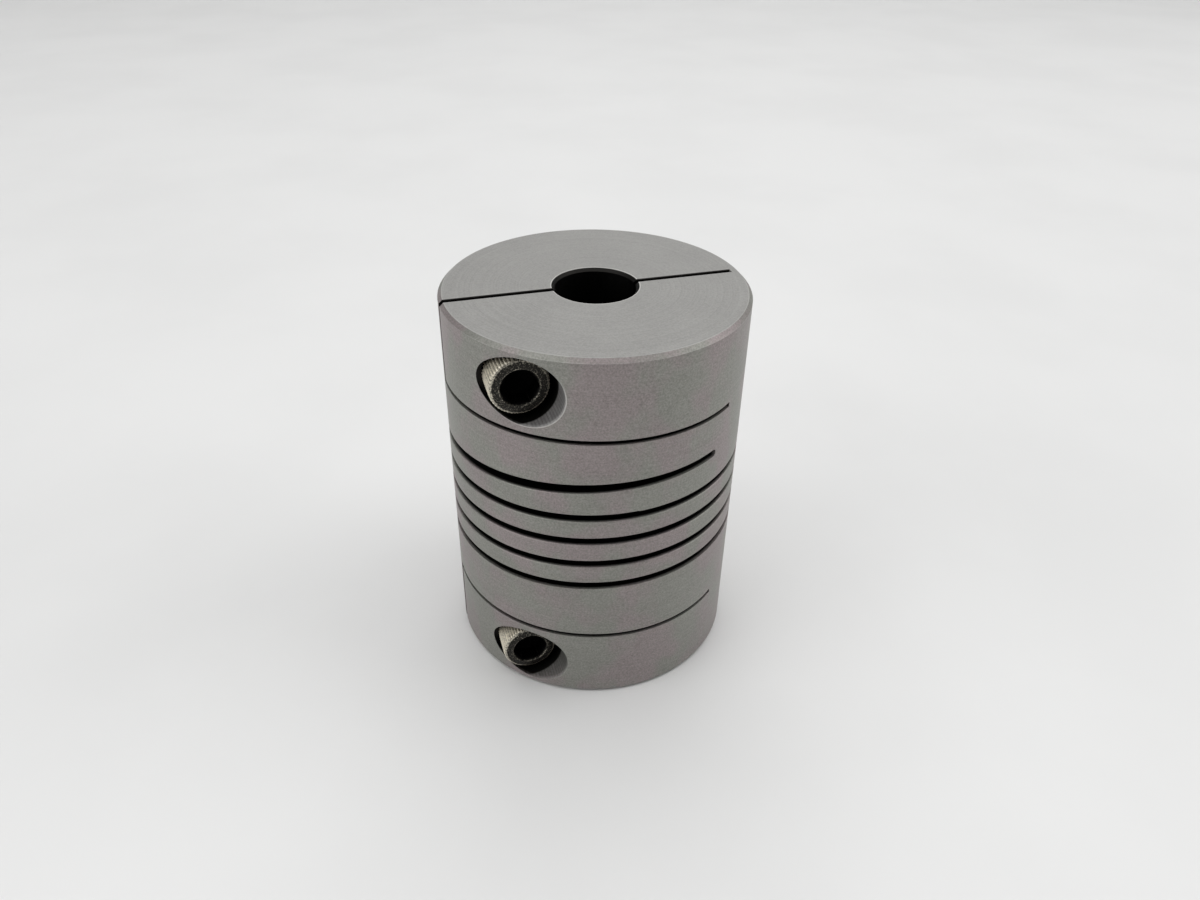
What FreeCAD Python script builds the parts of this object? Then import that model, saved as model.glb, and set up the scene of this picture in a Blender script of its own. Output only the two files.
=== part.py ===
"""Clamp-style beam coupling: one slit hub at each end and a single-start helical beam between them.

The body is turned and cut from one bar. It is divided here only where its metal bends: each clamp
arm at the end of its cross slot, and the helical beam at every quarter turn. Two socket head
screws close the clamps.

Frame: the origin is the centre of the lower face and +Z is the coupling axis. The clamp slits
open towards -X and the screw heads face -Y. Angles are in degrees from -Y towards +X, and
"travel" is the angle gone down the helical slot from its upper end.
"""
import FreeCAD
import Part
import math
import os

Vector = FreeCAD.Vector
UP = Vector(0, 0, 1)

# Body, mm
OUTER_DIAMETER = 19.05
LENGTH = 25.4
BORE_DIAMETER = 5.0
BORE_LENGTH = 7.4
RELIEF_DIAMETER = 6.6
RIM_CHAMFER = 0.25
BORE_CHAMFER = 0.2

# Helical slot, mm and degrees
SLOT_WIDTH = 0.51
SLOT_EXTRA_WIDTH = 0.17
SLOT_END_DEPTH = 8.04
SLOT_START_ANGLE = 32.7
LEAD_IN_TRAVEL = 150.0
LEAD_IN_DROP = 0.55
QUARTER = 90.0
SEGMENT_COUNT = 14
JOINT_HALF_GAP = 0.5

# Clamp slit and cross slot, mm
SLIT_WIDTH = 0.35
SLIT_END_X = 8.86
SLIT_EDGE_BREAK = 0.06
CROSS_SLOT_WIDTH = 0.3
CROSS_SLOT_DEPTH = 5.25
CROSS_SLOT_END_X = 6.27

# Clamp screw, number 2-56 by 3/8 inch, mm
SCREW_X = -6.19
SCREW_DEPTH = 2.57
SCREW_SEAT_Y = -4.49
SCREW_LENGTH = 9.525
HEAD_DIAMETER = 3.56
HEAD_HEIGHT = 2.18
HEAD_CHAMFER = 0.2
SOCKET_ACROSS_FLATS = 1.984
SOCKET_DEPTH = 1.1
SOCKET_CORNERS = 6
SOCKET_POINT_ANGLE = 118.0
THREAD_MAJOR_DIAMETER = 2.18
THREAD_MINOR_DIAMETER = 1.8
CLEARANCE_HOLE_DIAMETER = 2.45
COUNTERBORE_DIAMETER = 4.2

# Worked out
RADIUS = OUTER_DIAMETER / 2
RELIEF_RADIUS = RELIEF_DIAMETER / 2
SLOT_TRAVEL = 2 * SLOT_START_ANGLE + SEGMENT_COUNT * QUARTER + 360
PITCH = (LENGTH - 2 * SLOT_END_DEPTH - 2 * LEAD_IN_DROP) * 360 / SLOT_TRAVEL
CUT_INNER = 0.3 * BORE_DIAMETER
CUT_OUTER = 1.2 * RADIUS
POINT_SPACING = 7.5


def smooth(amount):
    """A step from 0 to 1 with level ends."""
    amount = min(max(amount, 0.0), 1.0)
    return amount * amount * (3 - 2 * amount)


def bump(travel):
    """Rises from 0 to 1 and back within the lead-in of the slot."""
    if not 0 < travel < LEAD_IN_TRAVEL:
        return 0.0
    return math.sin(math.pi * travel / LEAD_IN_TRAVEL) ** 2


def slot_centre(travel):
    """Height of the middle of the slot: an even pitch with a steeper lead-in at both ends."""
    lead_ins = smooth(travel / LEAD_IN_TRAVEL) + 1 - smooth((SLOT_TRAVEL - travel) / LEAD_IN_TRAVEL)
    return LENGTH - SLOT_END_DEPTH - PITCH * travel / 360 - LEAD_IN_DROP * lead_ins


def half_width(travel):
    """Half the slot's width, a little more in the lead-ins."""
    return (SLOT_WIDTH + SLOT_EXTRA_WIDTH * (bump(travel) + bump(SLOT_TRAVEL - travel))) / 2


def slot_top(travel):
    return slot_centre(travel) + half_width(travel)


def slot_bottom(travel):
    return slot_centre(travel) - half_width(travel)


def beam_underside(travel):
    """The beam's lower face is the upper side of the slot one turn further down."""
    return slot_top(travel + 360)


def place(travel, radius, height):
    """The point at a travel along the slot, a radius and a height."""
    angle = math.radians(SLOT_START_ANGLE - travel)
    return Vector(radius * math.sin(angle), -radius * math.cos(angle), height)


def rail(travels, radius, height):
    curve = Part.BSplineCurve()
    curve.interpolate([place(travel, radius, height(travel)) for travel in travels])
    return curve.toShape()


def helical_block(first, last, top, bottom, inner, outer):
    """Solid from one travel to another, with heights that are functions of the travel."""
    steps = math.ceil((last - first) / POINT_SPACING)
    travels = [first + (last - first) * step / steps for step in range(steps + 1)]
    corners = [(inner, bottom), (outer, bottom), (outer, top), (inner, top)]
    rails = [rail(travels, radius, height) for radius, height in corners]
    faces = [Part.makeRuledSurface(rails[side - 1], rails[side]) for side in range(len(rails))]
    for travel in (first, last):
        points = [place(travel, radius, height(travel)) for radius, height in corners]
        faces.append(Part.Face(Part.makePolygon(points + points[:1])))
    shell = Part.Compound(faces)
    shell.sewShape()
    solid = Part.Solid(Part.Shell(shell.Faces))
    if solid.Volume < 0:
        solid.reverse()
    return solid


def box(low, high):
    return Part.makeBox(high[0] - low[0], high[1] - low[1], high[2] - low[2], Vector(*low))


def cylinder_y(diameter, start_y, end_y, x, z):
    return Part.makeCylinder(diameter / 2, end_y - start_y, Vector(x, start_y, z), Vector(0, 1, 0))


def turned_profile():
    """Half section of the upper hub: rim chamfer, bore mouth, bore and relief."""
    bottom = slot_bottom(SLOT_START_ANGLE + 360) - 1
    bore = BORE_DIAMETER / 2
    outline = [
        (RELIEF_RADIUS, bottom),
        (RADIUS, bottom),
        (RADIUS, LENGTH - RIM_CHAMFER),
        (RADIUS - RIM_CHAMFER, LENGTH),
        (bore + BORE_CHAMFER, LENGTH),
        (bore, LENGTH - BORE_CHAMFER),
        (bore, LENGTH - BORE_LENGTH),
        (RELIEF_RADIUS, LENGTH - BORE_LENGTH - (RELIEF_RADIUS - bore)),
    ]
    points = [Vector(x, 0, z) for x, z in outline]
    return Part.Face(Part.makePolygon(points + points[:1]))


def hub_blank():
    """Upper hub with the first turn of the slot under it and the root of the beam."""
    blank = turned_profile().revolve(Vector(), UP, 360)
    root_end = SLOT_START_ANGLE - JOINT_HALF_GAP
    floor = slot_bottom(SLOT_START_ANGLE + 360) - 2
    cuts = []
    for quarter in range(4):
        first = root_end + quarter * QUARTER
        last = first + QUARTER
        cuts.append(helical_block(first, last, slot_top, lambda travel: floor, CUT_INNER, CUT_OUTER))
    cuts.append(helical_block(0, root_end, slot_top, slot_bottom, CUT_INNER, CUT_OUTER))
    start = place(0, CUT_INNER, slot_centre(0))
    outward = place(0, 1, 0)
    cuts.append(Part.makeCylinder(SLOT_WIDTH / 2, CUT_OUTER - CUT_INNER, start, outward))
    for cut in cuts:
        blank = blank.cut(cut)
    return blank


def turn_over(shape):
    """The lower end is the upper one turned half a turn about the X axis at mid length."""
    turned = shape.copy()
    turned.rotate(Vector(0, 0, LENGTH / 2), Vector(1, 0, 0), 180)
    return turned


def from_face(depth, upper):
    """Height at a depth below the upper face, or above the lower one."""
    return LENGTH - depth if upper else depth


def clamp_cuts(upper):
    """Slit, cross slot and screw hole of one clamp."""
    half_slit = SLIT_WIDTH / 2
    slit_floor = CROSS_SLOT_DEPTH + CROSS_SLOT_WIDTH / 2
    low, high = sorted([from_face(-1, upper), from_face(slit_floor, upper)])
    slit = box((-CUT_OUTER, -half_slit, low), (SLIT_END_X, half_slit, high))
    middle = from_face(CROSS_SLOT_DEPTH, upper)
    cross_low = (-CUT_OUTER, -CUT_OUTER, middle - CROSS_SLOT_WIDTH / 2)
    cross = box(cross_low, (CROSS_SLOT_END_X, half_slit, middle + CROSS_SLOT_WIDTH / 2))

    face = from_face(0, upper)
    reach = half_slit + SLIT_EDGE_BREAK
    diamond = [Vector(-CUT_OUTER, -reach, face), Vector(-CUT_OUTER, 0, face + reach)]
    diamond += [Vector(-CUT_OUTER, reach, face), Vector(-CUT_OUTER, 0, face - reach)]
    edge_break = Part.Face(Part.makePolygon(diamond + diamond[:1]))
    edge_break = edge_break.extrude(Vector(CUT_OUTER + SLIT_END_X, 0, 0))

    z = from_face(SCREW_DEPTH, upper)
    counterbore = cylinder_y(COUNTERBORE_DIAMETER, -CUT_OUTER, SCREW_SEAT_Y, SCREW_X, z)
    clearance = cylinder_y(CLEARANCE_HOLE_DIAMETER, -CUT_OUTER, 0, SCREW_X, z)
    tapped = cylinder_y(THREAD_MAJOR_DIAMETER, 0, CUT_OUTER, SCREW_X, z)
    return [slit, cross, edge_break, counterbore, clearance, tapped]


def clamp_hub(upper):
    """One hub and its clamp arm, parted where the cross slot ends."""
    hub = hub_blank() if upper else turn_over(hub_blank())
    for cut in clamp_cuts(upper):
        hub = hub.cut(cut)
    low, high = sorted([from_face(-1, upper), from_face(CROSS_SLOT_DEPTH, upper)])
    front = box((-CUT_OUTER, -CUT_OUTER, low), (CROSS_SLOT_END_X, 0, high))
    return hub.cut(front), hub.common(front)


def clamp_screw(upper):
    """Socket head screw along +Y, its thread plain at the minor diameter."""
    z = from_face(SCREW_DEPTH, upper)
    head_face = SCREW_SEAT_Y - HEAD_HEIGHT
    axis = Vector(0, 1, 0)
    head = cylinder_y(HEAD_DIAMETER, head_face + HEAD_CHAMFER, SCREW_SEAT_Y, SCREW_X, z)
    outer = HEAD_DIAMETER / 2
    crown = Part.makeCone(outer - HEAD_CHAMFER, outer, HEAD_CHAMFER, Vector(SCREW_X, head_face, z), axis)
    shank = cylinder_y(THREAD_MINOR_DIAMETER, SCREW_SEAT_Y, SCREW_SEAT_Y + SCREW_LENGTH, SCREW_X, z)
    screw = head.fuse(crown).fuse(shank).removeSplitter()

    corner = SOCKET_ACROSS_FLATS / math.sqrt(3)
    hexagon = []
    for step in range(SOCKET_CORNERS + 1):
        turn = 2 * math.pi * step / SOCKET_CORNERS
        hexagon.append(Vector(SCREW_X + corner * math.cos(turn), head_face, z + corner * math.sin(turn)))
    socket = Part.Face(Part.makePolygon(hexagon)).extrude(axis * SOCKET_DEPTH)
    drill = SOCKET_ACROSS_FLATS / 2
    point_length = drill / math.tan(math.radians(SOCKET_POINT_ANGLE / 2))
    point = Part.makeCone(drill, 0, point_length, Vector(SCREW_X, head_face + SOCKET_DEPTH, z), axis)
    mouth = Part.makeCone(corner, drill, corner - drill, Vector(SCREW_X, head_face, z), axis)
    return screw.cut(socket).cut(point).cut(mouth)


def beam_segment(index):
    """One quarter turn of the beam, counted from the upper hub."""
    first = SLOT_START_ANGLE + (index - 1) * QUARTER + JOINT_HALF_GAP
    last = first + QUARTER - 2 * JOINT_HALF_GAP
    return helical_block(first, last, slot_bottom, beam_underside, RELIEF_RADIUS, RADIUS)


def main():
    os.makedirs("parts", exist_ok=True)
    parts = {f"beam_segment_{index:02d}": beam_segment(index) for index in range(1, SEGMENT_COUNT + 1)}
    for end, upper in (("upper", True), ("lower", False)):
        parts[f"{end}_hub"], parts[f"{end}_clamp_arm"] = clamp_hub(upper)
        parts[f"{end}_clamp_screw"] = clamp_screw(upper)
    for name, shape in parts.items():
        solids = len(shape.Solids)
        if solids != 1 or not shape.isValid():
            raise RuntimeError(f"{name} is not one valid solid")
        shape.Solids[0].exportStep(f"parts/{name}.step")
        print(f"{name}: {shape.Volume:.2f} mm3")


main()
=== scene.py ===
"""Beam coupling: the finished surfaces of a clamp beam coupling, built round its CAD frame.

The frame holds the hubs and every size. This file gives them their finish, and makes the pieces
whose looks need more than the frame's solids: the helical beam as ribbon pieces, one about each
joint, the clamp arms sliced finely at the end of their cross slots, and the knurled, threaded clamp screws.
"""
import math

import bmesh
import bpy
from bpy.props import FloatProperty, FloatVectorProperty, IntProperty, PointerProperty
from mathutils import Matrix, Vector


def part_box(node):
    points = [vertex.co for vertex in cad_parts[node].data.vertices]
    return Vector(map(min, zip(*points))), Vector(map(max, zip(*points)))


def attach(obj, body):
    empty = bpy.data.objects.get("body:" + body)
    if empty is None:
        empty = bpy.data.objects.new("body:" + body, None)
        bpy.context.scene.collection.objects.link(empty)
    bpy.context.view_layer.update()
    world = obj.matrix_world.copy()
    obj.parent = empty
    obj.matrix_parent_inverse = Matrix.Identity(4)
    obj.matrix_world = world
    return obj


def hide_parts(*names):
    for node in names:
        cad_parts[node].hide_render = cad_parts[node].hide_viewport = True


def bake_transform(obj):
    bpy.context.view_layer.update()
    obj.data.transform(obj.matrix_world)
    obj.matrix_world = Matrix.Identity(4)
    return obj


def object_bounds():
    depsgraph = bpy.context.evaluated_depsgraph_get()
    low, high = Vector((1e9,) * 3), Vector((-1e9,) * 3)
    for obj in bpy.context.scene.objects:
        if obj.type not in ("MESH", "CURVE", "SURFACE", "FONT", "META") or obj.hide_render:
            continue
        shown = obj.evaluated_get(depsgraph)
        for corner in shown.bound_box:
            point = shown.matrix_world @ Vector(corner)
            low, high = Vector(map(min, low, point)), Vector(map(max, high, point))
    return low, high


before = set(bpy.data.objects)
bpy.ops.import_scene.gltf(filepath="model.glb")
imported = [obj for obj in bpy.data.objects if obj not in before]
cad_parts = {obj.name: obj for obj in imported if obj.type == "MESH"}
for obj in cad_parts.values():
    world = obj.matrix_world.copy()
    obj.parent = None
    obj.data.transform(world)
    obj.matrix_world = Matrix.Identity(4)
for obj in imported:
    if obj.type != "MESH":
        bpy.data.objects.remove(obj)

bl_info = {
    "name": "Beam Coupling",
    "version": (1, 0, 0),
    "blender": (4, 5, 0),
    "location": "3D View > Sidebar > Coupling",
    "description": "Builds the finished surfaces of a clamp beam coupling round its frame",
    "category": "Object",
}

CAD_BOUNDS = [list(corner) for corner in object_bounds()]
MM = 0.001
LENGTH = CAD_BOUNDS[1][2]
RADIUS = CAD_BOUNDS[1][0]
ENDS = ("upper", "lower")
SEGMENTS = sorted(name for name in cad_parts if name.startswith("beam_segment"))
QUARTER = 90.0
REST_PLACE = "rest_place"
SKIN = 0.01 * MM  # a point this near a surface's place counts as on it
SHARP_ANGLE = 28.0
FLOOR_SIDES = 96
SWEEP_STEPS = 12
CROWN_STEPS = 8
THREAD_STEPS = 8
# Painted shade: the near-black colour inside the screws' hexagon sockets.
SOCKET_SHADE = (0.004, 0.004, 0.004)


def inner_radius(node):
    """The smallest distance of a node's surface from the coupling axis."""
    return min(math.hypot(vertex.co.x, vertex.co.y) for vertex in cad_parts[node].data.vertices)


RELIEF_RADIUS = inner_radius(SEGMENTS[0])
BORE_RADIUS = inner_radius("upper_hub")


# Sizes and colours ---------------------------------------------------------------------------


class BeamSizes(bpy.types.PropertyGroup):
    """The helical slot that leaves the beam, and how finely the beam is meshed."""

    slot_width: FloatProperty(
        name="Slot Width", description="Width of the helical slot along the axis",
        default=0.51 * MM, unit="LENGTH")
    extra_width: FloatProperty(
        name="Extra Width", description="Added slot width in the lead-ins",
        default=0.17 * MM, unit="LENGTH")
    end_depth: FloatProperty(
        name="End Depth", description="From an end face to the slot's end",
        default=8.04 * MM, unit="LENGTH")
    start_angle: FloatProperty(
        name="Start Angle", description="From the front to the slot's upper end, in degrees", default=32.7)
    lead_in_travel: FloatProperty(
        name="Lead-in Travel", description="Angle of the steeper stretch at each end, in degrees",
        default=150.0)
    lead_in_drop: FloatProperty(
        name="Lead-in Drop", description="Added fall of the slot in a lead-in",
        default=0.55 * MM, unit="LENGTH")
    root_gap: FloatProperty(
        name="Root Gap", description="Angle between a beam joint and the solid beside it, in degrees",
        default=0.5)
    edge_break: FloatProperty(
        name="Edge Break", description="Chamfer on the beam's outer edges",
        default=0.045 * MM, unit="LENGTH")
    bend_reach: FloatProperty(
        name="Bend Reach", description="Half the stretch over which a joint's bend is spread",
        default=2.3 * MM, unit="LENGTH")
    steps: IntProperty(name="Steps", description="Mesh steps in a quarter turn of beam", default=72, min=8)


class ScrewSizes(bpy.types.PropertyGroup):
    """The clamp screws' head, socket, knurl and thread."""

    head_diameter: FloatProperty(
        name="Head Diameter", description="Over the knurl", default=3.54 * MM, unit="LENGTH")
    head_height: FloatProperty(
        name="Head Height", description="From the seat to the head's face",
        default=2.17 * MM, unit="LENGTH")
    crown: FloatProperty(
        name="Crown", description="Rounding of the head's outer edge", default=0.28 * MM, unit="LENGTH")
    dome: FloatProperty(
        name="Dome", description="Fall of the head's face towards its crown",
        default=0.05 * MM, unit="LENGTH")
    knurl_teeth: IntProperty(
        name="Knurl Teeth", description="Straight knurls round the head", default=52, min=12)
    knurl_depth: FloatProperty(
        name="Knurl Depth", description="From tip to root of the knurl", default=0.1 * MM, unit="LENGTH")
    socket_flats: FloatProperty(
        name="Socket Across Flats", description="Size of the hexagon key",
        default=1.984 * MM, unit="LENGTH")
    socket_depth: FloatProperty(
        name="Socket Depth", description="Depth of the hexagon socket", default=1.1 * MM, unit="LENGTH")
    thread_major: FloatProperty(
        name="Thread Diameter", description="Over the crests of the thread",
        default=1.96 * MM, unit="LENGTH")
    thread_minor: FloatProperty(
        name="Root Diameter", description="At the roots of the thread", default=1.62 * MM, unit="LENGTH")
    thread_pitch: FloatProperty(
        name="Thread Pitch", description="From crest to crest", default=0.454 * MM, unit="LENGTH")
    steps: IntProperty(
        name="Steps Per Tooth", description="Mesh steps in one knurl tooth", default=4, min=3)


class HubSizes(bpy.types.PropertyGroup):
    """Edges and holes of the hubs that the finish follows."""

    rim_chamfer: FloatProperty(
        name="Rim Chamfer", description="Chamfer round the end faces", default=0.25 * MM, unit="LENGTH")
    bore_chamfer: FloatProperty(
        name="Bore Chamfer", description="Chamfer at the mouth of the bore",
        default=0.2 * MM, unit="LENGTH")
    slit_width: FloatProperty(
        name="Slit Width", description="Width of the clamp slit", default=0.35 * MM, unit="LENGTH")
    slit_depth: FloatProperty(
        name="Slit Depth", description="From the end face to the slit's floor",
        default=5.4 * MM, unit="LENGTH")
    slit_end: FloatProperty(
        name="Slit End", description="From the axis to the slit's blind end",
        default=8.86 * MM, unit="LENGTH")
    counterbore_diameter: FloatProperty(
        name="Counterbore", description="Diameter of the screw head's pocket",
        default=4.2 * MM, unit="LENGTH")
    thread_diameter: FloatProperty(
        name="Tapped Hole", description="Diameter over the thread", default=2.18 * MM, unit="LENGTH")
    # The width of the painted highlight lines along the body's edges.
    highlight_width: FloatProperty(
        name="Edge Wear", description="Width of the rubbed line along an edge",
        default=0.055 * MM, unit="LENGTH")


class ArmSizes(bpy.types.PropertyGroup):
    """How far a clamp arm is sliced from where it leaves its hub, and into how many slices."""

    bend_length: FloatProperty(
        name="Bend Length", description="Stretch of the arm that bends", default=4.5 * MM, unit="LENGTH")
    slices: IntProperty(name="Slices", description="Mesh slices in the bending stretch", default=12, min=2)


class FinishColours(bpy.types.PropertyGroup):
    """Colours of the anodised body and of the screws, with a painted highlight colour for edges and a
    painted shade colour for recesses.
    """

    turned: FloatVectorProperty(
        name="Turned Side", description="Matte grey anodised aluminium round the body", subtype="COLOR",
        default=(0.264, 0.264, 0.240))
    turned_warm: FloatVectorProperty(
        name="Warmer Patches", description="Faint warmer patches round the body", subtype="COLOR",
        default=(0.290, 0.255, 0.252))
    faced: FloatVectorProperty(
        name="Faced Ends", description="The same finish on the flat ends", subtype="COLOR",
        default=(0.284, 0.280, 0.268))
    # Painted highlight: the light colour of the thin lines along the body's edges, where the edge breaks
    # catch the light.
    wear_and_highlight: FloatVectorProperty(
        name="Rubbed Aluminium", description="Edges where the finish has worn", subtype="COLOR",
        default=(0.66, 0.65, 0.62))
    machined: FloatVectorProperty(
        name="Machined Pocket", description="Walls of the screw head's pocket", subtype="COLOR",
        default=(0.74, 0.73, 0.73))
    # Painted shade: the near-black colour of the walls deep in the slots, the slits, the bores and the
    # screw pockets, and of the bore's mouth chamfer.
    cut: FloatVectorProperty(
        name="Cut Walls", description="Dark walls deep in the slots, the slits and the bores",
        subtype="COLOR", default=(0.018, 0.017, 0.016))
    steel: FloatVectorProperty(
        name="Black Oxide", description="The screws", subtype="COLOR", default=(0.024, 0.023, 0.021))
    # Bare steel worn on the knurled side of the screw heads, made light also to paint the glint on the
    # knurl.
    bare_steel_and_glint: FloatVectorProperty(
        name="Rubbed Steel", description="The knurl and other rubbed edges of the screws", subtype="COLOR",
        default=(0.86, 0.80, 0.66))


class StageSettings(bpy.types.PropertyGroup):
    """Floor, light and camera."""

    floor: FloatVectorProperty(
        name="Floor", description="Colour of the floor", subtype="COLOR", default=(0.745, 0.745, 0.74))
    floor_radius: FloatProperty(
        name="Floor Radius", description="Where the floor starts to rise", default=0.55, unit="LENGTH")
    top_power: FloatProperty(
        name="Top Light", description="Power of the soft light overhead", default=2.7, unit="POWER")
    side_power: FloatProperty(
        name="Side Lights", description="Power of each soft light beside the coupling",
        default=0.9, unit="POWER")
    back_power: FloatProperty(
        name="Back Light", description="Power of the soft light behind the coupling",
        default=0.42, unit="POWER")
    world_strength: FloatProperty(name="Fill", description="Strength of the even fill light", default=0.11)
    azimuth: FloatProperty(
        name="Azimuth", description="Camera's angle round the axis, in degrees", default=-16.3)
    elevation: FloatProperty(
        name="Elevation", description="Camera's angle above the floor, in degrees", default=34.58)
    distance: FloatProperty(
        name="Distance", description="From the middle of the coupling, in coupling radii", default=6.604)
    turn: FloatVectorProperty(
        name="Turn", description="The camera's own pan, tilt and roll, in degrees",
        default=(0.413, 0.435, -0.72))
    lens: FloatProperty(name="Lens", description="Focal length in millimetres", default=27.54)


PROPERTIES = {
    "coupling_beam": BeamSizes,
    "coupling_screw": ScrewSizes,
    "coupling_hub": HubSizes,
    "coupling_arm": ArmSizes,
    "coupling_finish": FinishColours,
    "coupling_stage": StageSettings,
}


# Shaders -------------------------------------------------------------------------------------


class Wire:
    """A socket in a material's nodes. Arithmetic on it adds the Math nodes."""

    def __init__(self, shader, socket):
        self.shader = shader
        self.socket = socket

    def math(self, operation, *values):
        inputs = dict(enumerate((self, *values)))
        return self.shader.add("ShaderNodeMath", {"operation": operation}, inputs)

    def reflected(self, operation, value):
        return self.shader.add("ShaderNodeMath", {"operation": operation}, {0: value, 1: self})

    def __add__(self, other):
        return self.math("ADD", other)

    def __sub__(self, other):
        return self.math("SUBTRACT", other)

    def __mul__(self, other):
        return self.math("MULTIPLY", other)

    def __truediv__(self, other):
        return self.math("DIVIDE", other)

    def __pow__(self, other):
        return self.math("POWER", other)

    def __lt__(self, other):
        return self.math("LESS_THAN", other)

    def __abs__(self):
        return self.math("ABSOLUTE")

    def __rsub__(self, other):
        return self.reflected("SUBTRACT", other)

    def __rtruediv__(self, other):
        return self.reflected("DIVIDE", other)

    __radd__ = __add__
    __rmul__ = __mul__

    def ramp(self, low, high):
        """0 at low and below, 1 at high and above, with level ends."""
        settings = {"interpolation_type": "SMOOTHSTEP", "clamp": True}
        inputs = {"Value": self, "From Min": low, "From Max": high}
        return self.shader.add("ShaderNodeMapRange", settings, inputs)


class Shader:
    """The nodes of one material, with each point's place at hand.

    A piece that bends carries its points' places at rest, so that its finish stays on the metal.
    """

    def __init__(self, name, bends=False, **constants):
        self.material = bpy.data.materials.new(name)
        self.material.use_nodes = True
        self.nodes = self.material.node_tree.nodes
        self.links = self.material.node_tree.links
        self.surface = self.nodes["Principled BSDF"]
        for socket, value in constants.items():
            self.surface.inputs[socket.replace("_", " ")].default_value = value
        if bends:
            self.place = self.add("ShaderNodeAttribute", {"attribute_name": REST_PLACE}, output="Vector")
        else:
            self.place = self.add("ShaderNodeTexCoord", output="Object")

    def add(self, kind, settings=None, inputs=None, output=0):
        """A node of any kind: its settings first, then the values or wires of its inputs."""
        node = self.nodes.new(kind)
        for name, value in (settings or {}).items():
            setattr(node, name, value)
        for name, value in (inputs or {}).items():
            self.feed(node.inputs[name], value)
        return Wire(self, node.outputs[output])

    def feed(self, socket, value):
        if isinstance(value, Wire):
            self.links.new(value.socket, socket)
        else:
            socket.default_value = value

    def split(self, vector):
        """The three numbers of a vector."""
        first = self.add("ShaderNodeSeparateXYZ", inputs={0: vector})
        outputs = first.socket.node.outputs
        return [Wire(self, outputs[axis]) for axis in range(3)]

    def vector(self, x, y, z):
        return self.add("ShaderNodeCombineXYZ", inputs={0: x, 1: y, 2: z})

    def scaled(self, vector, factors):
        """A vector or colour, stretched by a number or by one number for each axis."""
        return self.add("ShaderNodeVectorMath", {"operation": "MULTIPLY"}, {0: vector, 1: factors})

    def noise(self, vector, detail=2.0, roughness=0.5):
        inputs = {"Vector": vector, "Scale": 1.0, "Detail": detail, "Roughness": roughness}
        return self.add("ShaderNodeTexNoise", inputs=inputs)

    def mix(self, factor, first, second):
        """From one colour to another."""
        inputs = {0: factor, 6: first, 7: second}
        return self.add("ShaderNodeMix", {"data_type": "RGBA"}, inputs, output=2)

    def blend(self, factor, first, second):
        """From one number to another."""
        return first * (1 - factor) + second * factor

    def finish(self, colour, roughness=None, height=None, depth=None):
        """Feeds the surface: its colour, its roughness and a bump of a height from 0 to 1."""
        for name, wire in (("Base Color", colour), ("Roughness", roughness)):
            if wire is not None:
                self.feed(self.surface.inputs[name], wire)
        if height is not None:
            bump = self.add("ShaderNodeBump", inputs={"Height": height, "Distance": depth, "Strength": 1.0})
            self.feed(self.surface.inputs["Normal"], bump)
        return self.material


def rgba(colour):
    return (*colour, 1.0)


def screw_axis(end):
    """A clamp screw's axis point at its head's face, from its node's box."""
    low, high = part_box(f"{end}_clamp_screw")
    return Vector(((low.x + high.x) / 2, low.y, (low.z + high.z) / 2))


def band(value, centre, width):
    """1 within a band about a value, with soft sides, and 0 outside it."""
    return 1 - abs(value - centre).ramp(0.35 * width, 0.65 * width)


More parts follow.
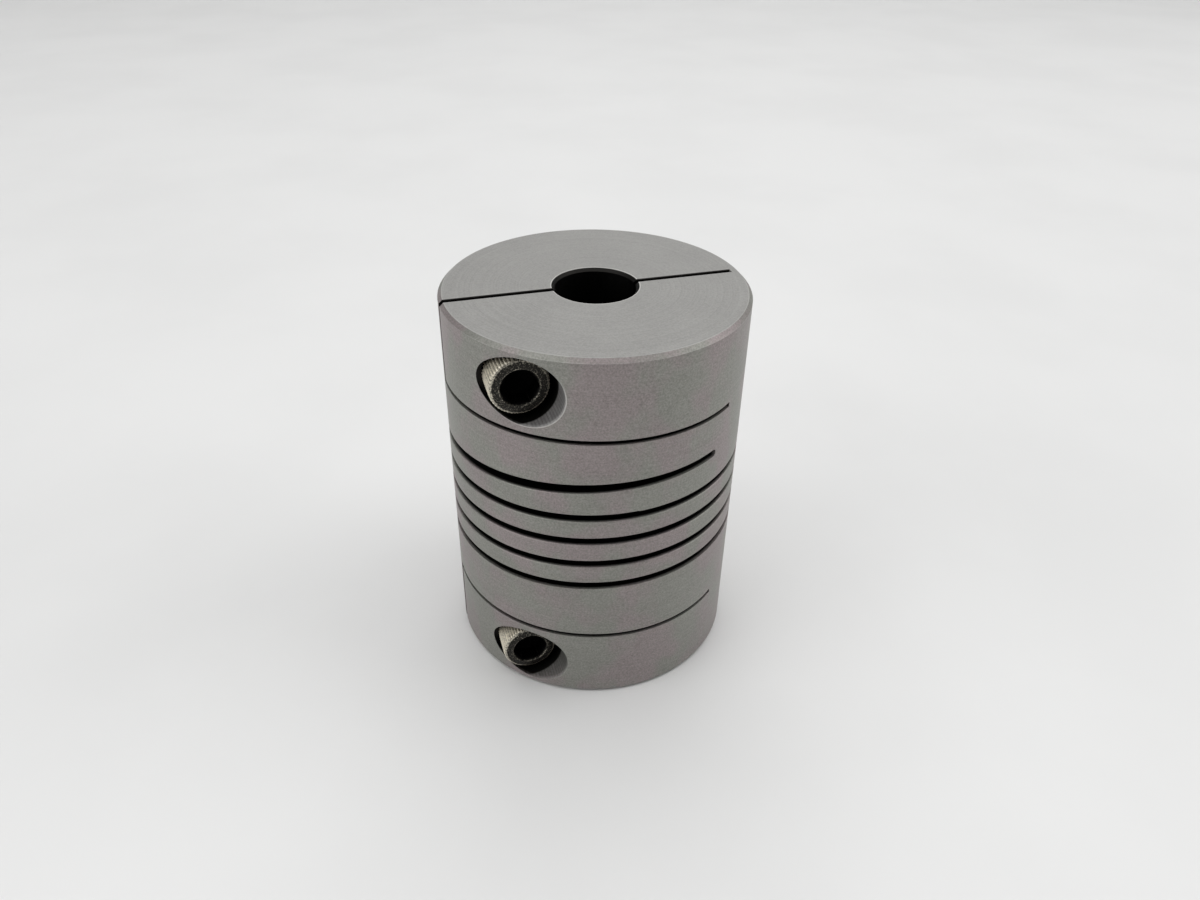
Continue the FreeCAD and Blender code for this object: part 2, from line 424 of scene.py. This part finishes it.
def anodised(name, colours, sizes, pitch, bends):
    """Matte grey anodised aluminium: turned side, faced ends, fine blasted grain, painted highlights along
    the edges, and painted shade in the slots, the bore, the slit and the screw pockets.
    """
    shader = Shader(name, bends, IOR=1.45)
    x, y, z = shader.split(shader.place)
    radius = (x * x + y * y) ** 0.5
    from_end = (abs(z - LENGTH / 2) - LENGTH / 2) * -1
    faced = 1 - from_end.ramp(SKIN, 3 * SKIN)
    turned = radius.ramp(RADIUS - 3 * SKIN, RADIUS - SKIN)
    screw = screw_axis("lower")
    across, up = x - screw.x, from_end - screw.z
    from_screw = (across * across + up * up) ** 0.5
    lower = z < LENGTH / 2
    below = up * (1 - lower * 2)
    front = y < 0

    # Marks of the tools, blasted grain, and slow changes of tone and tint.
    side_lines = shader.noise(shader.scaled(shader.place, (90, 90, 12000)), detail=3.0)
    face_lines = shader.noise(shader.vector(radius * 12000, x * 60, y * 60), detail=3.0)
    lines = shader.blend(faced, side_lines * turned + 0.5 * (1 - turned), face_lines)
    grain = shader.noise(shader.scaled(shader.place, (9000, 9000, 9000)), detail=4.0, roughness=0.7)
    cloud = shader.noise(shader.scaled(shader.place, (420, 420, 420)), detail=4.0)
    tint = shader.noise(shader.scaled(shader.place, (380, 380, 260)), detail=2.0)

    # Painted shade, near black: the walls deep in the slots, the bore and its mouth, the clamp slit and a
    # thin strip beside it on the end faces, and the pocket round the screw next to its head.
    pocket_radius = sizes.counterbore_diameter / 2
    mouth_radius = BORE_RADIUS + sizes.bore_chamfer
    slit_side = sizes.slit_width / 2 + 0.03 * MM
    pocket = (1 - from_screw.ramp(pocket_radius - SKIN, pocket_radius + SKIN)) * front
    # Painted shadow on the pocket walls next to the screw head.
    pocket_shade = (y - screw.y).ramp(-0.42 * MM, -0.24 * MM)
    # Painted shade on the walls inside the slots and the bore, clear of the end faces.
    cut = 1 - radius.ramp(RADIUS - 0.32 * MM, RADIUS - 0.02 * MM)
    cut = cut * from_end.ramp(0.21 * MM, 0.4 * MM)
    # Painted shade on the bore's mouth chamfer.
    mouth = (1 - radius.ramp(mouth_radius - 0.03 * MM, mouth_radius)) * from_end.ramp(0, 0.04 * MM)
    # Painted shade in the slit and on a thin strip of end face beside it.
    slit = 1 - abs(y).ramp(slit_side, slit_side + 0.03 * MM)
    slit = slit * (from_end < sizes.slit_depth) * (x < sizes.slit_end)
    # All the painted shade, in one mask.
    deep = (cut + mouth + slit * (1 - turned)).ramp(0, 1) * (1 - pocket) + pocket * pocket_shade

    # Painted highlights: light lines along the pocket's rim away from the end face, the chamfers, the bore
    # and the slit.
    width = sizes.highlight_width
    pocket_highlight = band(from_screw, pocket_radius + 0.4 * width, width) * turned * front
    # The pocket's painted highlight shows on one side of its rim only, and dimmer round the lower screw.
    pocket_highlight = pocket_highlight * (across + below).ramp(-0.5 * MM, 2.5 * MM) * (1 - lower * 0.7)
    rim_highlights = band(radius, RADIUS - sizes.rim_chamfer, width) * faced * 0.4
    rim_highlights = rim_highlights + band(from_end, sizes.rim_chamfer, 0.7 * width) * turned * 0.3
    mouth_highlight = band(radius, mouth_radius + 0.3 * width, width) * faced
    slit_highlight = band(abs(y), slit_side + 0.05 * MM, width) * faced * (x < sizes.slit_end) * 0.2
    # All the painted highlight lines.
    edges = pocket_highlight * 0.8 + rim_highlights + mouth_highlight * 0.8 + slit_highlight
    speckle = 1 + (grain - 0.5) * (1.4 - faced * 0.6) + (lines - 0.5) * 0.3 + (cloud - 0.5) * 0.2

    colour = shader.mix(tint.ramp(0.4, 0.62), rgba(colours.turned), rgba(colours.turned_warm))
    colour = shader.mix(faced, colour, rgba(colours.faced))
    # Painted shade: the lower pocket takes much less of the machined colour than the upper one.
    colour = shader.mix(pocket * (1 - lower * 0.8), colour, rgba(colours.machined))
    colour = shader.scaled(colour, speckle)
    # The painted highlights along the edges.
    colour = shader.mix((edges * (0.35 + cloud * 0.9)).ramp(0, 1), colour, rgba(colours.wear_and_highlight))
    # The painted shade, in the near-black colour.
    colour = shader.mix(deep, colour, rgba(colours.cut))
    roughness = 0.46 + (cloud - 0.5) * 0.12 + (grain - 0.5) * 0.2 - faced * 0.06
    shader.feed(shader.surface.inputs["Metallic"], shader.blend(deep, 0.55 - faced * 0.3, 1))

    thread, from_thread = thread_wave(shader, y, across, up, pitch)
    thread_radius = sizes.thread_diameter / 2
    tapped = (1 - from_thread.ramp(thread_radius, 1.04 * thread_radius)) * (1 - front)
    height = shader.blend(tapped, lines * 0.35 + grain * 0.65, thread * 6)
    return shader.finish(colour, roughness, height, 0.01 * MM)


def body_finish(scene, name, bends):
    pitch = scene.coupling_screw.thread_pitch
    return anodised(name, scene.coupling_finish, scene.coupling_hub, pitch, bends)


def thread_wave(shader, along, across, up, pitch):
    """A triangle wave from 0 to 1 that winds round an axis, and the distance from that axis."""
    angle = across.math("ARCTAN2", up)
    wave = (along / pitch + angle / math.tau).math("PINGPONG", 0.5) * 2
    return wave, (across * across + up * up) ** 0.5


def black_steel(name, colours, end, sizes):
    """Black oxide on steel, worn to bare metal on the knurl with a painted glint there, a painted highlight
    round the socket's rim, and painted shade inside the socket.
    """
    shader = Shader(name)
    x, y, z = shader.split(shader.place)
    centre = screw_axis(end)
    across, up, depth = x - centre.x, z - centre.z, y - centre.y
    distance = (across * across + up * up) ** 0.5
    tip = sizes.head_diameter / 2
    corner = sizes.socket_flats / math.sqrt(3)
    grain = shader.noise(shader.scaled(shader.place, (11000, 11000, 11000)), detail=4.0, roughness=0.7)
    cloud = shader.noise(shader.scaled(shader.place, (1800, 1800, 1800)), detail=3.0)
    streaks = shader.noise(shader.vector(across * 9000, depth * 900, up * 9000), detail=3.0)

    head = 1 - depth.ramp(sizes.head_height - 0.1 * MM, sizes.head_height)
    side = distance.ramp(tip - 0.8 * sizes.crown, tip - 0.55 * sizes.crown) * head
    tips = 0.45 + distance.ramp(tip - sizes.knurl_depth, tip) * 0.55
    # Painted highlight: a light ring round the socket's rim.
    socket_rim_glint = band(distance, corner + 0.02 * MM, 0.09 * MM) * (1 - depth.ramp(0.02 * MM, 0.06 * MM))
    # Painted shade inside the hexagon socket.
    socket = (1 - distance.ramp(corner - 0.03 * MM, corner)) * depth.ramp(0.02 * MM, 0.12 * MM) * head
    speckle = (grain - 0.5) * 2.2
    # Bare steel worn on the knurled side, with painted glints in its streaks.
    worn_and_glinting_side = side * tips * (0.75 + cloud * 0.5 + (streaks - 0.5) * 1.2)
    # Wear and painted glint together, with the grain.
    wear_and_highlight = worn_and_glinting_side + socket_rim_glint * (cloud - 0.33) + speckle
    colour = shader.mix(wear_and_highlight.ramp(0, 1), rgba(colours.steel), rgba(colours.bare_steel_and_glint))
    # The painted shade in the socket.
    colour = shader.mix(socket, colour, rgba(SOCKET_SHADE))
    roughness = 0.42 + (grain - 0.5) * 0.3 + socket * 0.3
    shader.feed(shader.surface.inputs["Metallic"], 1 - side * 0.5)
    return shader.finish(colour, roughness, grain, 0.006 * MM)


# Mesh ----------------------------------------------------------------------------------------


def make_piece(name, vertices, faces, material, slot):
    """A new object from its points and faces, smooth but for its sharp edges."""
    mesh = bpy.data.meshes.new(name)
    mesh.from_pydata(vertices, [], faces)
    mesh.validate()
    return finish_piece(name, mesh, material, slot)


def keep_rest_place(mesh):
    """Stores each point's place at rest, which the finish of a bending piece follows."""
    places = mesh.attributes.new(REST_PLACE, "FLOAT_VECTOR", "POINT")
    places.data.foreach_set("vector", [number for vertex in mesh.vertices for number in vertex.co])


def finish_piece(name, mesh, material, slot):
    """A new object from a mesh, with its finish, its sharp edges and its points' places at rest."""
    tidy = bmesh.new()
    tidy.from_mesh(mesh)
    bmesh.ops.recalc_face_normals(tidy, faces=tidy.faces)
    tidy.to_mesh(mesh)
    tidy.free()
    mesh.polygons.foreach_set("use_smooth", [True] * len(mesh.polygons))
    mesh.set_sharp_from_angle(angle=math.radians(SHARP_ANGLE))
    mesh.materials.clear()
    mesh.materials.append(material)
    keep_rest_place(mesh)
    piece = bpy.data.objects.new(name, mesh)
    bpy.context.scene.collection.objects.link(piece)
    return piece


def loft(rings):
    """Faces between rings of equal length, with both ends capped. Returns points and faces."""
    count = len(rings[0])
    vertices = [point for ring in rings for point in ring]
    faces = []
    for row in range(len(rings) - 1):
        for column in range(count):
            following = (column + 1) % count
            low, high = row * count, (row + 1) * count
            faces.append((low + column, low + following, high + following, high + column))
    last = (len(rings) - 1) * count
    faces.append(tuple(reversed(range(count))))
    faces.append(tuple(range(last, last + count)))
    return vertices, faces


class HelicalSlot:
    """The slot's path: travel is the angle gone down it from its upper end, in degrees."""

    def __init__(self, sizes):
        self.sizes = sizes
        self.travel = 2 * sizes.start_angle + len(SEGMENTS) * QUARTER + 360
        fall = LENGTH - 2 * sizes.end_depth - 2 * sizes.lead_in_drop
        self.pitch = fall * 360 / self.travel

    def smooth(self, travel):
        amount = min(max(travel / self.sizes.lead_in_travel, 0.0), 1.0)
        return amount * amount * (3 - 2 * amount)

    def bump(self, travel):
        amount = travel / self.sizes.lead_in_travel
        return math.sin(math.pi * amount) ** 2 if 0 < amount < 1 else 0.0

    def centre(self, travel):
        lead_ins = self.smooth(travel) + 1 - self.smooth(self.travel - travel)
        fall = self.pitch * travel / 360 + self.sizes.lead_in_drop * lead_ins
        return LENGTH - self.sizes.end_depth - fall

    def half_width(self, travel):
        extra = self.bump(travel) + self.bump(self.travel - travel)
        return (self.sizes.slot_width + self.sizes.extra_width * extra) / 2

    def beam_top(self, travel):
        return self.centre(travel) - self.half_width(travel)

    def beam_bottom(self, travel):
        return self.centre(travel + 360) + self.half_width(travel + 360)

    def angle(self, travel):
        return math.radians(self.sizes.start_angle - travel)

    def point(self, travel, radius, height):
        angle = self.angle(travel)
        return Vector((radius * math.sin(angle), -radius * math.cos(angle), height))

    def along(self, travel):
        """The level direction in which the travel grows."""
        angle = self.angle(travel)
        return Vector((-math.cos(angle), -math.sin(angle), 0))


# Operators -----------------------------------------------------------------------------------


class COUPLING_OT_stage(bpy.types.Operator):
    """Makes the floor, the light and the camera"""

    bl_idname = "coupling.stage"
    bl_label = "Stage"

    def execute(self, context):
        settings = context.scene.coupling_stage
        context.scene.view_settings.view_transform = "Standard"
        self.make_floor(settings)
        self.make_light(context, settings)
        self.make_camera(context, settings)
        return {"FINISHED"}

    def make_floor(self, settings):
        """A round floor whose rim rises in a soft sweep."""
        rise = 0.5 * settings.floor_radius
        sweep = [(settings.floor_radius * share, 0.0) for share in (0.02, 0.2, 0.5, 1.0)]
        for step in range(1, SWEEP_STEPS + 1):
            turn = math.pi / 2 * step / SWEEP_STEPS
            sweep.append((settings.floor_radius + rise * math.sin(turn), rise * (1 - math.cos(turn))))
        turns = [math.tau * side / FLOOR_SIDES for side in range(FLOOR_SIDES)]
        rings = [[(r * math.cos(turn), r * math.sin(turn), z) for turn in turns] for r, z in sweep]
        vertices, faces = loft(rings)
        mesh = bpy.data.meshes.new("floor")
        mesh.from_pydata(vertices, [], faces[:-1])
        mesh.polygons.foreach_set("use_smooth", [True] * len(mesh.polygons))
        shader = Shader("pale_floor", Roughness=0.55)
        cloud = shader.noise(shader.scaled(shader.place, (35, 35, 35)), detail=4.0)
        pale = rgba(settings.floor)
        dim = rgba([channel * 0.965 for channel in settings.floor])
        mesh.materials.append(shader.finish(shader.mix(cloud.ramp(0.35, 0.7), pale, dim)))
        floor = bpy.data.objects.new("floor", mesh)
        bpy.context.scene.collection.objects.link(floor)

    def make_light(self, context, settings):
        """Even fill, a wide soft light overhead and weaker ones beside and behind."""
        world = bpy.data.worlds.new("fill")
        world.use_nodes = True
        background = world.node_tree.nodes["Background"]
        background.inputs["Color"].default_value = (0.98, 0.99, 1.0, 1.0)
        background.inputs["Strength"].default_value = settings.world_strength
        context.scene.world = world
        self.make_lamp(context, "top_light", (0.02, 0.06, 0.5), 0.8, settings.top_power)
        self.make_lamp(context, "left_light", (-0.45, -0.1, 0.26), 0.45, settings.side_power)
        self.make_lamp(context, "right_light", (0.45, -0.1, 0.26), 0.45, settings.side_power)
        self.make_lamp(context, "back_light", (0.17, 0.46, 0.42), 0.5, settings.back_power)

    def make_lamp(self, context, name, place, size, power):
        lamp = bpy.data.lights.new(name, "AREA")
        lamp.shape = "DISK"
        lamp.size = size
        lamp.energy = power
        light = bpy.data.objects.new(name, lamp)
        light.location = place
        light.rotation_euler = (-light.location).to_track_quat("-Z", "Y").to_euler()
        context.scene.collection.objects.link(light)

    def make_camera(self, context, settings):
        """Stands off the middle of the coupling and looks at it, with a small turn of its own."""
        azimuth, elevation = math.radians(settings.azimuth), math.radians(settings.elevation)
        pan, tilt, roll = (math.radians(angle) for angle in settings.turn)
        aim = Matrix.Rotation(azimuth, 3, "Z") @ Matrix.Rotation(math.pi / 2 - elevation, 3, "X")
        back = aim @ Vector((0, 0, 1))
        own = Matrix.Rotation(-pan, 3, "Y") @ Matrix.Rotation(tilt, 3, "X") @ Matrix.Rotation(-roll, 3, "Z")
        data = bpy.data.cameras.new("camera")
        data.lens = settings.lens
        data.sensor_width = 36.0
        data.clip_start = 0.001
        camera = bpy.data.objects.new("camera", data)
        middle = Vector((0, 0, LENGTH / 2))
        place = middle + back * settings.distance * RADIUS
        camera.matrix_world = Matrix.Translation(place) @ (aim @ own).to_4x4()
        context.scene.collection.objects.link(camera)
        context.scene.camera = camera


class COUPLING_OT_hubs(bpy.types.Operator):
    """Gives both hubs their anodised finish"""

    bl_idname = "coupling.hubs"
    bl_label = "Hubs"

    def execute(self, context):
        material = body_finish(context.scene, "anodised_hub", bends=False)
        for end in ENDS:
            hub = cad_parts[f"{end}_hub"]
            for slot in hub.material_slots:
                slot.material = material
        return {"FINISHED"}


class COUPLING_OT_clamp_arms(bpy.types.Operator):
    """Makes the clamp arms, sliced finely where they leave their hubs"""

    bl_idname = "coupling.clamp_arms"
    bl_label = "Clamp Arms"

    def execute(self, context):
        sizes = context.scene.coupling_arm
        material = body_finish(context.scene, "anodised_arm", bends=True)
        for end in ENDS:
            self.make_arm(end, sizes, material)
        return {"FINISHED"}

    def make_arm(self, end, sizes, material):
        node = f"{end}_clamp_arm"
        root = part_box(node)[1].x
        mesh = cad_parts[node].data.copy()
        cut = bmesh.new()
        cut.from_mesh(mesh)
        for step in range(1, sizes.slices):
            place = Vector((root - sizes.bend_length * step / sizes.slices, 0, 0))
            parts = [*cut.verts, *cut.edges, *cut.faces]
            bmesh.ops.bisect_plane(cut, geom=parts, plane_co=place, plane_no=(1, 0, 0), dist=1e-8)
        cut.to_mesh(mesh)
        cut.free()
        piece = finish_piece(f"{end}_arm", mesh, material, "hubs")
        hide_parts(node)
        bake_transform(piece)


class COUPLING_OT_beam(bpy.types.Operator):
    """Makes the helical beam, piece by piece, one piece about each of its joints"""

    bl_idname = "coupling.beam"
    bl_label = "Helical Beam"

    def execute(self, context):
        sizes = context.scene.coupling_beam
        slot = HelicalSlot(sizes)
        material = body_finish(context.scene, "anodised_beam", bends=True)
        bodies = ["upper_hub", *SEGMENTS, "lower_hub"]
        last = len(SEGMENTS)
        for joint in range(last + 1):
            middle = sizes.start_angle + joint * QUARTER
            first = middle - (QUARTER / 2 if joint else sizes.root_gap)
            end = middle + (QUARTER / 2 if joint < last else sizes.root_gap)
            piece = self.make_ribbon(f"beam_{joint + 1:02d}", slot, first, end, material)
            above, below = bodies[joint], bodies[joint + 1]
            if joint:
                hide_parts(above)
            if joint < last:
                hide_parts(below)
            height = (slot.beam_top(middle) + slot.beam_bottom(middle)) / 2
            centre, along = Vector((0, 0, height)), slot.along(middle)
            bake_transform(piece)
        return {"FINISHED"}

    def make_ribbon(self, name, slot, first, last, material):
        """The beam from one travel to another, its outer edges broken."""
        count = max(2, math.ceil(slot.sizes.steps * (last - first) / QUARTER))
        rings = []
        for step in range(count + 1):
            travel = first + (last - first) * step / count
            top, bottom = slot.beam_top(travel), slot.beam_bottom(travel)
            edge = slot.sizes.edge_break
            section = [
                (RELIEF_RADIUS, bottom),
                (RADIUS - edge, bottom),
                (RADIUS, bottom + edge),
                (RADIUS, top - edge),
                (RADIUS - edge, top),
                (RELIEF_RADIUS, top),
            ]
            rings.append([slot.point(travel, radius, height) for radius, height in section])
        return make_piece(name, *loft(rings), material, "beam")


class COUPLING_OT_screws(bpy.types.Operator):
    """Makes the two clamp screws with knurled heads, hexagon sockets and threads"""

    bl_idname = "coupling.screws"
    bl_label = "Clamp Screws"

    def execute(self, context):
        sizes = context.scene.coupling_screw
        for end in ENDS:
            material = black_steel(f"black_steel_{end}", context.scene.coupling_finish, end, sizes)
            vertices, faces = loft(self.rings(end, sizes))
            piece = make_piece(f"{end}_screw", vertices, faces, material, "black_screws")
            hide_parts(f"{end}_clamp_screw")
            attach(piece, f"{end}_clamp_screw")
        return {"FINISHED"}

    def rings(self, end, sizes):
        """Rings from the bottom of the socket, over the head and along the thread to the tip."""
        low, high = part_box(f"{end}_clamp_screw")
        centre = screw_axis(end)
        count = sizes.knurl_teeth * sizes.steps
        turns = [math.tau * step / count for step in range(count)]
        flat = sizes.socket_flats / 2
        corner = sizes.socket_flats / math.sqrt(3)

        def hexagon(turn):
            return flat / math.cos(turn % math.radians(60) - math.radians(30))

        def ring(radius, depth):
            points = []
            for turn in turns:
                r = radius(turn) if callable(radius) else radius
                y = depth(turn) if callable(depth) else depth
                points.append((centre.x + r * math.cos(turn), low.y + y, centre.z + r * math.sin(turn)))
            return points

        outer = sizes.head_diameter / 2

        def knurled(limit):
            """The head's radius: the knurl, cut off by the crown's radius there."""
            def radius(turn):
                wave = abs((turn / math.tau * sizes.knurl_teeth) % 1 - 0.5) * 2
                return min(limit, outer - sizes.knurl_depth * wave)
            return radius

        rings = [
            ring(0.02 * flat, sizes.socket_depth + 0.55 * flat),
            ring(0.86 * flat, sizes.socket_depth + 0.05 * flat),
            ring(lambda turn: hexagon(turn) - 0.03 * MM, sizes.socket_depth),
            ring(hexagon, sizes.socket_depth - 0.03 * MM),
            ring(hexagon, lambda turn: corner - hexagon(turn) + 0.03 * MM),
            ring(corner + 0.03 * MM, 0.0),
        ]
        inner_crown = outer - sizes.crown
        rings.append(ring((corner + inner_crown) / 2, 0.3 * sizes.dome))
        for step in range(CROWN_STEPS + 1):
            turn = math.pi / 2 * step / CROWN_STEPS
            limit = inner_crown + sizes.crown * math.sin(turn)
            rings.append(ring(knurled(limit), sizes.dome + sizes.crown * (1 - math.cos(turn))))
        seat = sizes.head_height
        rings.append(ring(knurled(outer), seat / 2))
        rings.append(ring(knurled(outer), seat - 0.1 * MM))
        rings.append(ring(outer - sizes.knurl_depth - 0.03 * MM, seat))
        rings += self.thread_rings(ring, sizes, seat, high.y - low.y)
        return rings

    def thread_rings(self, ring, sizes, seat, length):
        """A right-hand thread from under the head to the chamfered tip."""
        major, minor = sizes.thread_major / 2, sizes.thread_minor / 2
        start = seat + 0.02 * MM
        tip = length - 0.25 * MM
        count = math.ceil((tip - start) / sizes.thread_pitch * THREAD_STEPS)
        rings = []
        for step in range(count + 1):
            depth = start + (tip - start) * step / count
            fade = min(1.0, (count - step) / THREAD_STEPS)

            def radius(turn, depth=depth, fade=fade):
                wave = abs((depth / sizes.thread_pitch + turn / math.tau) % 1 - 0.5) * 2
                return minor + (major - minor) * wave * fade
            rings.append(ring(radius, depth))
        rings.append(ring(minor - 0.2 * MM, length))
        return rings


class COUPLING_PT_panel(bpy.types.Panel):
    """Lists the pieces and their sizes"""

    bl_label = "Beam Coupling"
    bl_space_type = "VIEW_3D"
    bl_region_type = "UI"
    bl_category = "Coupling"

    def draw(self, context):
        for operator in OPERATORS:
            self.layout.operator(operator.bl_idname)
        for attribute, group in PROPERTIES.items():
            box = self.layout.box()
            settings = getattr(context.scene, attribute)
            for name in group.__annotations__:
                box.prop(settings, name)


OPERATORS = (
    COUPLING_OT_stage,
    COUPLING_OT_hubs,
    COUPLING_OT_clamp_arms,
    COUPLING_OT_beam,
    COUPLING_OT_screws,
)


def register():
    for group in PROPERTIES.values():
        bpy.utils.register_class(group)
    for attribute, group in PROPERTIES.items():
        setattr(bpy.types.Scene, attribute, PointerProperty(type=group))
    for operator in OPERATORS:
        bpy.utils.register_class(operator)
    bpy.utils.register_class(COUPLING_PT_panel)


def unregister():
    bpy.utils.unregister_class(COUPLING_PT_panel)
    for operator in reversed(OPERATORS):
        bpy.utils.unregister_class(operator)
    for attribute in PROPERTIES:
        delattr(bpy.types.Scene, attribute)
    for group in PROPERTIES.values():
        bpy.utils.unregister_class(group)


def main():
    register()
    bpy.ops.coupling.stage()
    bpy.ops.coupling.hubs()
    bpy.ops.coupling.clamp_arms()
    bpy.ops.coupling.beam()
    bpy.ops.coupling.screws()


if __name__ == "__main__":
    main()
